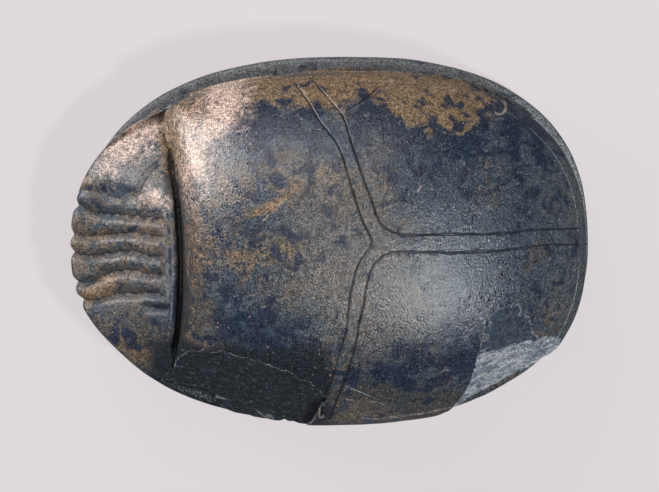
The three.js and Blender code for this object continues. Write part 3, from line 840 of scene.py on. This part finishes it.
class Wire:  # a shader value that Python's own signs can work on
    def __init__(self, maker, socket):
        self.maker, self.socket = maker, socket

    def reckon(self, operation, first, second):
        return self.maker.node("ShaderNodeMath", {"operation": operation}, {0: first, 1: second})

    def __add__(self, other):
        return self.reckon("ADD", self, other)

    def __sub__(self, other):
        return self.reckon("SUBTRACT", self, other)

    def __rsub__(self, other):
        return self.reckon("SUBTRACT", other, self)

    def __mul__(self, other):
        return self.reckon("MULTIPLY", self, other)

    def ramp(self, low, high, start=0.0, end=1.0):
        values = {"Value": self, "From Min": low, "From Max": high, "To Min": start, "To Max": end}
        return self.maker.node("ShaderNodeMapRange", {"interpolation_type": "SMOOTHSTEP"}, values)


class Maker:
    def __init__(self, name):
        self.material = bpy.data.materials.new(name)
        self.material.use_nodes = True
        self.tree = self.material.node_tree
        self.shader = self.tree.nodes["Principled BSDF"]

    def fill(self, socket, value):
        if isinstance(value, Wire):
            self.tree.links.new(value.socket, socket)
        else:
            socket.default_value = value

    def node(self, kind, settings, values, output=0):
        made = self.tree.nodes.new(kind)
        for name, value in settings.items():
            setattr(made, name, value)
        for name, value in values.items():
            self.fill(made.inputs[name], value)
        return Wire(self, made.outputs[output])

    def noise(self, place, size, detail=3.0, roughness=0.55, distortion=0.0, output=0):
        values = {"Vector": place, "Scale": 1 / (size * millimetre), "Detail": detail,
                  "Roughness": roughness, "Distortion": distortion}
        return self.node("ShaderNodeTexNoise", {"noise_dimensions": "3D"}, values, output)

    def field(self, name):
        return self.node("ShaderNodeAttribute", {"attribute_name": name}, {}, "Fac")

    def blend(self, share, first, second, way="MIX"):
        return self.node("ShaderNodeMix", {"data_type": "RGBA", "blend_type": way, "clamp_factor": True},
                         {0: share, 6: first, 7: second}, 2)


def colour(red, green, blue):
    return (red, green, blue, 1.0)


stoneFinish = {
    "taupe": colour(0.160, 0.128, 0.100),
    "slate": colour(0.056, 0.079, 0.106),
    "navy": colour(0.014, 0.027, 0.058),
    "ochre": colour(0.235, 0.160, 0.094),
    # cream, bright enough to carry a painted sheen
    "creamAndSheen": colour(0.60, 0.46, 0.39),
    # brown, partly painted sheen
    "brownAndSheen": colour(0.150, 0.136, 0.124),
    # olive, partly painted shade
    "oliveAndShade": colour(0.066, 0.067, 0.062),
    "tailGrey": colour(0.088, 0.104, 0.114),
    # the base's grey, made brighter as a painted reflection along the rim
    "baseStoneAndReflection": colour(0.155, 0.170, 0.185),
    "darkBreak": colour(0.018, 0.024, 0.032),
    "paleBreak": colour(0.56, 0.59, 0.62),
    "freshBreak": colour(0.80, 0.70, 0.61),
    "blueGreyBreak": colour(0.21, 0.265, 0.33),
    "blueBreak": colour(0.060, 0.092, 0.132),
    "pit": colour(0.022, 0.024, 0.028),
    # dark: dirt in the cuts, and painted shade in the neck's groove and the head's hollows
    "dirtAndShade": colour(0.014, 0.015, 0.018),
    "roughness": 0.21,
    "breakRoughness": 0.25,  # added on the broken surfaces, and in the cuts
    "headRoughness": 0.17,  # added on the head
    "gloss": 0.85,
    "ior": 1.5,
    "bump": 0.045,  # mm
}
mottling = {  # sizes of the stone's patches and grains, mm
    "cloud": 4.0,
    "blotch": 1.3,
    "fleck": 0.8,
    "streak": 0.8,
    "crumb": 0.4,
    "pit": 0.33,
    "pebble": 0.24,
    "salt": 0.13,
    "streakTurn": -36,  # degrees
    "streakStretch": 0.3,
}


def mottledStone():
    maker = Maker("mottledStone")
    finish = stoneFinish
    place = maker.node("ShaderNodeTexCoord", {}, {}, "Object")
    cloud = maker.noise(place, mottling["cloud"], 3.0, 0.55, 0.3)
    blotch = maker.noise(place, mottling["blotch"], 2.5, 0.5, 0.6)
    fleck = maker.noise(place, mottling["fleck"], 3.0, 0.6)
    crumb = maker.noise(place, mottling["crumb"], 3.0, 0.6)
    salt = maker.noise(place, mottling["salt"], 2.0, 0.6)
    pebbleScale = 1 / (mottling["pebble"] * millimetre)
    pebble = maker.node("ShaderNodeTexVoronoi", {}, {"Vector": place, "Scale": pebbleScale})
    fuzz = (crumb - 0.5) * 1.2 + (salt - 0.5) * 1.0
    patchy = (blotch - 0.5) * 4.4 + fuzz
    flecked = (fleck - 0.5) * 3.0 + fuzz

    ground = (cloud - 0.5) * 2.5 + patchy * 0.8 + 0.5 - maker.field("wing") * 0.5
    shade = maker.blend(ground.ramp(0.1, 0.9), finish["slate"], finish["taupe"])
    # brown areas carry painted sheen, olive areas painted shade
    for name in ("brownAndSheen", "oliveAndShade", "tailGrey"):
        shade = maker.blend((maker.field(name) + fuzz * 0.5).ramp(0.1, 1.0) * 0.85, shade, finish[name])
    # the base: grey stone, brightened as a painted reflection
    shade = maker.blend((maker.field("base") + patchy * 0.25).ramp(0.3, 0.8), shade, finish["baseStoneAndReflection"])
    shade = maker.blend((maker.field("ochre") + flecked * 0.35).ramp(0.2, 0.75), shade, finish["ochre"])
    shade = maker.blend((maker.field("navy") * 1.15 + patchy).ramp(0.4, 0.85) * 0.93, shade, finish["navy"])
    # cream areas: cream stone with a painted sheen
    shade = maker.blend((maker.field("creamAndSheen") + flecked * 0.3).ramp(0.1, 1.0), shade, finish["creamAndSheen"])
    speckled = maker.field("creamAndSheen") * ((0.5 - fleck) * 5 + fuzz)
    shade = maker.blend(speckled.ramp(0.5, 1.0) * 0.6, shade, finish["navy"])
    # painted shade on the base's strip below the head's chip, in the broken stone's dark colour
    shade = maker.blend((maker.field("dark") + fuzz * 0.4).ramp(0.2, 0.8), shade, finish["darkBreak"])

    broken, pale = maker.field("broken"), maker.field("paleBreak")
    turned = (0, 0, math.radians(mottling["streakTurn"]))
    laid = maker.node("ShaderNodeMapping", {}, {"Vector": place, "Rotation": turned,
                                                "Scale": (mottling["streakStretch"], 1, 1)})
    streak = (maker.noise(laid, mottling["streak"], 3.0, 0.6) - 0.5) * 3.4 + fuzz * 0.6
    crumbled = (fuzz * 1.3 + flecked * 0.5).ramp(0.15, 1.0)
    darkShade = maker.blend(crumbled, finish["darkBreak"], finish["blueBreak"])
    flakeShade = maker.blend((fuzz + 0.5).ramp(0.0, 1.0), finish["navy"], finish["blueBreak"])
    paleShade = maker.blend((streak + 0.5).ramp(0.15, 0.95), finish["blueGreyBreak"], finish["paleBreak"])
    paleShade = maker.blend((streak - 0.25).ramp(0.25, 0.7), paleShade, finish["freshBreak"])
    breakShade = maker.blend(pale.ramp(0.05, 0.25), darkShade, flakeShade)
    breakShade = maker.blend(pale.ramp(0.4, 0.8), breakShade, paleShade)
    shade = maker.blend(broken, shade, breakShade)
    # a pale line where the chips meet the old surface: partly the worn crest, partly a painted highlight
    shade = maker.blend((maker.field("lip") + fuzz * 0.5).ramp(0.2, 1.1) * 0.32, shade, finish["paleBreak"])

    sparkle = (salt * 0.7 + crumb * 0.3).ramp(0.41, 0.61, 0.4, 1.85)
    grey = maker.node("ShaderNodeCombineColor", {}, {0: sparkle, 1: sparkle, 2: sparkle})
    shade = maker.blend(1.0, shade, grey, "MULTIPLY")
    pitted = maker.noise(place, mottling["pit"], 1.0, 0.5)
    shade = maker.blend(pitted.ramp(0.74, 0.79) * 0.8, shade, finish["pit"])
    shade = maker.blend((1 - pitted).ramp(0.70, 0.76) * 0.45, shade, finish["creamAndSheen"])
    # dirt in the narrow cuts, and painted shade in the neck's groove and the head's hollows
    dirtAndShadeMask = (maker.field("cut") * (1 - broken)).ramp(0.2, 0.95, 0.0, 0.75)
    shade = maker.blend(dirtAndShadeMask, shade, finish["dirtAndShade"])
    # pale marks: scratches and wear, with painted highlight in the dashes beside the lines and on the
    # flake's rim
    shade = maker.blend((maker.field("paleWearAndHighlight") + fuzz * 0.3).ramp(0.2, 1.0) * 0.6, shade, finish["creamAndSheen"])

    relief = salt * 0.9 - pebble * 0.5 + crumb * 0.4 + blotch * 0.2 - pitted.ramp(0.70, 0.78) * 0.6
    height = relief * (broken * 2.5 + 1)
    bump = maker.node("ShaderNodeBump", {}, {"Strength": 1.0, "Distance": finish["bump"] * millimetre,
                                             "Height": height})
    dull = finish["breakRoughness"]
    rough = salt.ramp(0.3, 0.7, -0.06, 0.12) + broken * dull + maker.field("cut") * dull
    rough = rough + finish["roughness"] + maker.field("head") * finish["headRoughness"]
    shader = maker.shader
    maker.fill(shader.inputs["Base Color"], shade)
    maker.fill(shader.inputs["Roughness"], rough)
    maker.fill(shader.inputs["Normal"], bump)
    shader.inputs["IOR"].default_value = finish["ior"]
    shader.inputs["Specular IOR Level"].default_value = finish["gloss"]
    return maker.material


def makeScarab():
    stone = flatDrawing()
    refine(stone)
    bpy.ops.object.mode_set(mode="EDIT")
    bpy.ops.mesh.select_all(action="SELECT")
    bpy.ops.mesh.normals_make_consistent(inside=False)
    bpy.ops.object.mode_set(mode="OBJECT")
    carve(stone)
    setField(stone.data, "broken", 0, "FACE")
    setField(stone.data, "paleBreak", 0, "FACE")
    for chip in chips["places"]:
        cutAway(stone, chipCutter(chip))
    setField(stone.data, "lip", brokenEdge(stone.data))
    cutAway(stone, threadCutter())
    finishSurface(stone)
    bpy.ops.object.shade_smooth_by_angle(angle=math.radians(38))
    stone.data.materials.clear()
    stone.data.materials.append(mottledStone())
    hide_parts("scarab")
    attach(stone, "root")
    print("scarab carved", len(stone.data.vertices), "vertices")
    return stone


studio = {
    "floorSize": 1.6,
    "floorShade": colour(0.15, 0.145, 0.15),
    "floorTint": colour(1.0, 0.93, 0.95),
    "floorGlow": 0.60,
    "lights": [  # name, place (m), size, power, colour
        ("windowLight", (-0.53, 0.28, 0.12), 0.18, 2.4, (1.0, 0.94, 0.91)),
        ("highWindow", (-0.18, 0.58, 0.50), 0.50, 1.7, (1.0, 0.97, 0.95)),
        ("frontSoftbox", (0.23, -0.158, 0.475), 0.058, 1.45, (0.93, 0.97, 1.0)),
        ("topFill", (-0.05, 0.10, 0.80), 0.6, 0.5, (1.0, 0.98, 0.96)),
    ],
    "world": (0.80, 0.80, 0.84, 1.0),
    "worldPower": 0.10,
}
cameraView = {
    "distance": 0.70,
    "tilt": 4.0,  # degrees from straight down, towards +Y
    "turn": 1.3,
    "pixel": 0.0906,  # millimetres a pixel at the base
    "imageWidth": 659,
    "baseMiddle": (335.1, 236.5),  # pixel where the middle of the base falls
    "imageMiddle": (329.5, 246.0),
    "sensor": 36.0,
}


def makeStudio():
    bpy.ops.object.select_all(action="DESELECT")
    bpy.ops.mesh.primitive_plane_add(size=studio["floorSize"], location=(0, 0, 0))
    floor = bpy.context.object
    floor.name = "paleTable"
    maker = Maker("paleTable")
    maker.fill(maker.shader.inputs["Base Color"], studio["floorShade"])
    maker.fill(maker.shader.inputs["Roughness"], 0.7)
    maker.fill(maker.shader.inputs["Emission Color"], studio["floorTint"])
    maker.fill(maker.shader.inputs["Emission Strength"], studio["floorGlow"])
    floor.data.materials.append(maker.material)
    floor.visible_glossy = False  # the table stays out of the stone's gloss
    for name, place, size, power, tint in studio["lights"]:
        light = bpy.data.lights.new(name, "AREA")
        light.shape, light.size, light.energy, light.color = "DISK", size, power, tint
        lamp = bpy.data.objects.new(name, light)
        lamp.location = place
        lamp.rotation_euler = (-Vector(place)).to_track_quat("-Z", "Y").to_euler()
        bpy.context.collection.objects.link(lamp)
    world = bpy.data.worlds.new("softRoom")
    world.use_nodes = True
    world.node_tree.nodes["Background"].inputs["Color"].default_value = studio["world"]
    world.node_tree.nodes["Background"].inputs["Strength"].default_value = studio["worldPower"]
    bpy.context.scene.world = world
    bpy.context.scene.view_settings.view_transform = "Standard"


def makeCamera():
    view = cameraView
    turn, tilt = math.radians(view["turn"]), math.radians(view["tilt"])
    right = Vector((math.cos(turn), -math.sin(turn), 0))
    up = Vector((math.sin(turn) * math.cos(tilt), math.cos(turn) * math.cos(tilt), -math.sin(tilt)))
    back = right.cross(up)
    pixel = view["pixel"] * millimetre
    asideX = (view["baseMiddle"][0] - view["imageMiddle"][0]) * pixel
    asideY = -(view["baseMiddle"][1] - view["imageMiddle"][1]) * pixel
    middle = Vector((overhang / 2 * millimetre, 0, 0))
    lens = bpy.data.cameras.new("topCamera")
    lens.sensor_width = view["sensor"]
    lens.lens = view["sensor"] * view["distance"] / (view["imageWidth"] * pixel)
    lens.clip_start, lens.clip_end = 0.01, 10
    camera = bpy.data.objects.new("topCamera", lens)
    place = middle + back * view["distance"] - right * asideX - up * asideY
    camera.matrix_world = Matrix.Translation(place) @ Matrix((right, up, back)).transposed().to_4x4()
    bpy.context.collection.objects.link(camera)
    bpy.context.scene.camera = camera


makeStudio()
makeCamera()
print("studio and camera set")
makeScarab()
